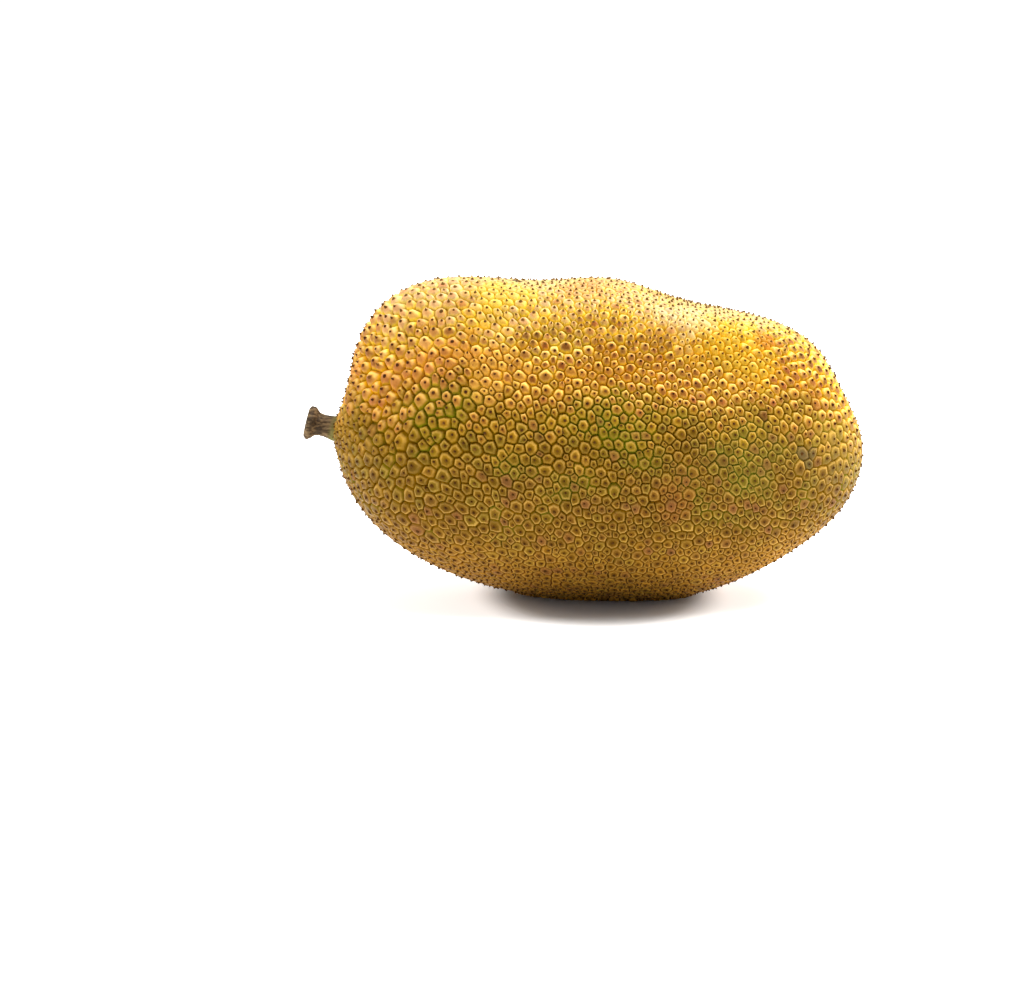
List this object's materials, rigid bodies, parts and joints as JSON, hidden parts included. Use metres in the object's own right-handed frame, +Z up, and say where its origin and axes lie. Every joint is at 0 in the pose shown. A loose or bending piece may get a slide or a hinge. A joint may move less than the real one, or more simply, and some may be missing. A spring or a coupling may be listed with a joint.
{
  "type": "jackfruit",
  "caption": "Whole ripe jackfruit lying on its side, an uneven egg of blunt close-set tubercles with a stub of woody stalk at one end.",
  "frame": {"origin": "on the small flat that the fruit rests on, under the middle of its length", "axes": "+X along the fruit from the stalk end to the blossom end, -Y its front, +Z up"},
  "size_m": [0.3692, 0.2107, 0.2101],
  "materials": {
    "rind": "matte, waxy on the tubercles",
    "bark": "dry and rough"
  },
  "bodies": {
    "root": {"fruit": "rind", "stalk": "bark"}
  },
  "joints": []
}
